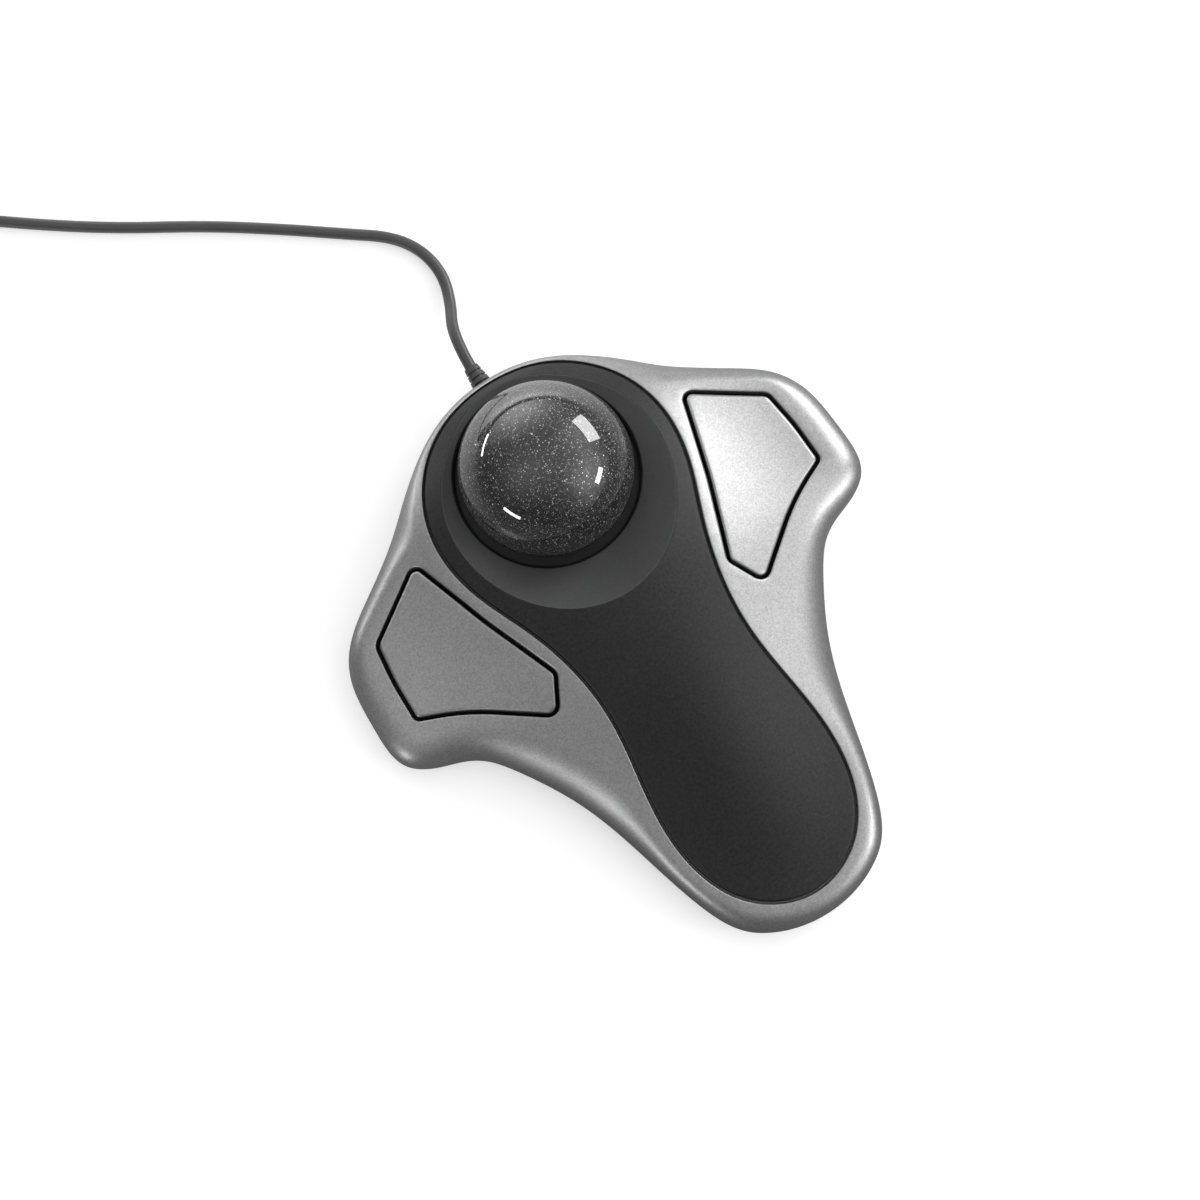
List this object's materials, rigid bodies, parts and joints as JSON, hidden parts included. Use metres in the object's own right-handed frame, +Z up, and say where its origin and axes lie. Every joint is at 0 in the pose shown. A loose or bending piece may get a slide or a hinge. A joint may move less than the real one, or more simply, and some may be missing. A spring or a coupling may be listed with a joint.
{
  "type": "trackball mouse",
  "caption": "Desk trackball with a speckled ball in a dished charcoal palm pad, a silver two-winged shell, a sprung button on each wing and a thin cord to a USB plug.",
  "frame": {"origin": "on the desk, under the centre of the shell's outline (the cord and plug left out)", "axes": "+Z up, +Y towards the ball and the end that the cord leaves, -Y towards the palm, +X to the right hand side"},
  "size_m": [0.1695, 0.3417, 0.046],
  "materials": {
    "silver_paint": "satin silver paint with a fine metallic grain",
    "charcoal_soft": "soft matt charcoal coating",
    "black_plastic": "fine textured moulding",
    "speckled_resin": "dark grey with fine light speckles",
    "clear_resin": "clear polished layer",
    "ceramic": "polished",
    "steel": "plain",
    "circuit_board": "green solder mask",
    "chip_black": "moulded",
    "clear_lens": "polished",
    "led_red": "tinted clear",
    "grey_ribbon": "plain",
    "capacitor_sleeve": "shrunk sleeve",
    "chip_tan": "ceramic body",
    "white_plastic": "plain",
    "black_rubber": "matt",
    "label": "satin film, blank",
    "cord_jacket": "soft flexible jacket",
    "plug_metal": "plated",
    "gold": "plated"
  },
  "bodies": {
    "case": {"top_case": "silver_paint", "bottom_case": "black_plastic", "centre_inlay": "charcoal_soft", "ball_cup": "black_plastic", "support_bearings": "ceramic", "left_hinge_pin": "steel", "right_hinge_pin": "steel", "sensor_board": "circuit_board", "main_board": "circuit_board", "sensor_chip": "chip_black", "controller_chip": "chip_black", "sensor_lens": "clear_lens", "sensor_led": "led_red", "jumper_cable": "grey_ribbon", "crystal_can": "steel", "power_capacitor": "capacitor_sleeve", "chip_passives": "chip_tan", "left_switch_body": "chip_black", "right_switch_body": "chip_black", "cable_socket": "white_plastic", "board_screws": "steel", "case_screws": "steel", "rubber_feet": "black_rubber", "rating_label": "label", "strain_relief": "cord_jacket", "inner_lead": "cord_jacket", "cord": "cord_jacket", "cord_coil": "cord_jacket", "cord_tie": "black_rubber", "usb_grip": "cord_jacket", "usb_shell": "plug_metal", "usb_tongue": "white_plastic", "usb_contacts": "gold"},
    "left_button": {"left_button": "silver_paint"},
    "right_button": {"right_button": "silver_paint"},
    "left_plunger": {"left_switch_plunger": "white_plastic"},
    "right_plunger": {"right_switch_plunger": "white_plastic"},
    "ball_outer": {"ball_clear_coat": "clear_resin"},
    "ball_inner": {"ball_core": "speckled_resin"}
  },
  "joints": [
    {"name": "left_button_press", "type": "hinge", "parent": "case", "child": "left_button", "pos_m": [-0.0292, 0.00625, 0.014], "axis": [-0.7948, -0.6069, 0], "range_deg": [0, 1.4], "stiffness_Nm_per_rad": 0.3, "springref_deg": -1.72},
    {"name": "right_button_press", "type": "hinge", "parent": "case", "child": "right_button", "pos_m": [0.0292, 0.00625, 0.014], "axis": [-0.7948, 0.6069, 0], "range_deg": [0, 1.4], "stiffness_Nm_per_rad": 0.3, "springref_deg": -1.72},
    {"name": "left_plunger_travel", "type": "slide", "parent": "case", "child": "left_plunger", "axis": [0, 0, -1], "range_m": [0, 0.0005], "stiffness_N_per_m": 0.002, "springref_m": -0.036},
    {"name": "right_plunger_travel", "type": "slide", "parent": "case", "child": "right_plunger", "axis": [0, 0, -1], "range_m": [0, 0.0005], "stiffness_N_per_m": 0.002, "springref_m": -0.036},
    {"name": "ball_roll_forward", "type": "hinge", "parent": "case", "child": "ball_outer", "pos_m": [0, 0.0452, 0.026], "axis": [1, 0, 0], "continuous": true},
    {"name": "ball_roll_sideways", "type": "hinge", "parent": "ball_outer", "child": "ball_inner", "pos_m": [0, 0.0452, 0.026], "axis": [0, 1, 0], "continuous": true}
  ],
  "couplings": [
    {"joint": "left_plunger_travel", "follows": "left_button_press", "m_per_rad": 0.015},
    {"joint": "right_plunger_travel", "follows": "right_button_press", "m_per_rad": 0.015}
  ]
}
